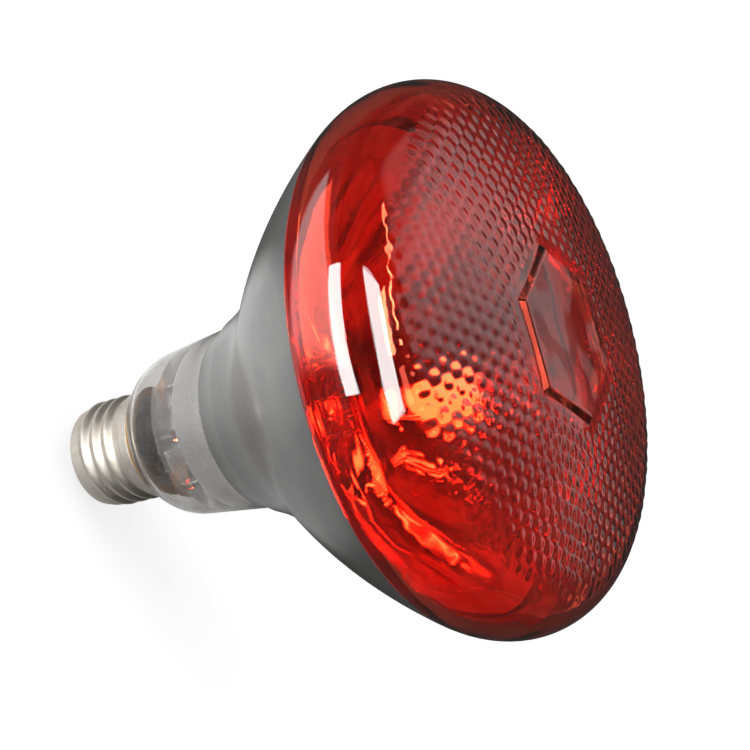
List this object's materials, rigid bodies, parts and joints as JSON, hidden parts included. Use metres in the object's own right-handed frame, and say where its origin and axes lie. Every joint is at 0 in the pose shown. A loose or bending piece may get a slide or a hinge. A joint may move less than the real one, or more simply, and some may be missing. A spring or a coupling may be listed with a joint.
{
  "type": "infrared heat lamp bulb",
  "caption": "Pressed-glass infrared reflector lamp with a red pebbled front lens, a six-sided centre window, a silvered bowl, a clear neck and a screw cap.",
  "frame": {"origin": "tip of the centre contact, on the lamp's axis", "axes": "+Z along the lamp's axis from the cap to the lens, X through the two ferrules, -Y towards the side that the picture shows"},
  "size_m": [0.122, 0.122, 0.136],
  "materials": {
    "ruby_glass": "ruby red pressed glass, pebbled outside and smooth at the rim",
    "silvered_glass": "pressed glass with an aluminium mirror on the inside of the bowl, bare at the neck",
    "clear_glass": "clear glass",
    "copper_plate": "copper plated, heat tinted",
    "nickel_wire": "drawn nickel",
    "tungsten": "drawn tungsten",
    "cap_nickel": "nickel plated brass, rolled",
    "black_glass": "black moulded glass",
    "contact_brass": "brass, tinned",
    "solder": "tin solder, dull",
    "cement": "baked amber cement"
  },
  "bodies": {
    "root": {"front_lens": "ruby_glass", "reflector_shell": "silvered_glass", "ferrule_left": "copper_plate", "ferrule_right": "copper_plate", "lead_post_left": "nickel_wire", "lead_post_right": "nickel_wire", "filament": "tungsten", "post_bridge": "clear_glass", "filament_support": "tungsten", "exhaust_tube": "clear_glass", "screw_shell": "cap_nickel", "insulator": "black_glass", "contact_plate": "contact_brass", "contact_solder": "solder", "cement_ring": "cement", "contact_lead": "nickel_wire", "side_lead": "nickel_wire"}
  },
  "joints": []
}
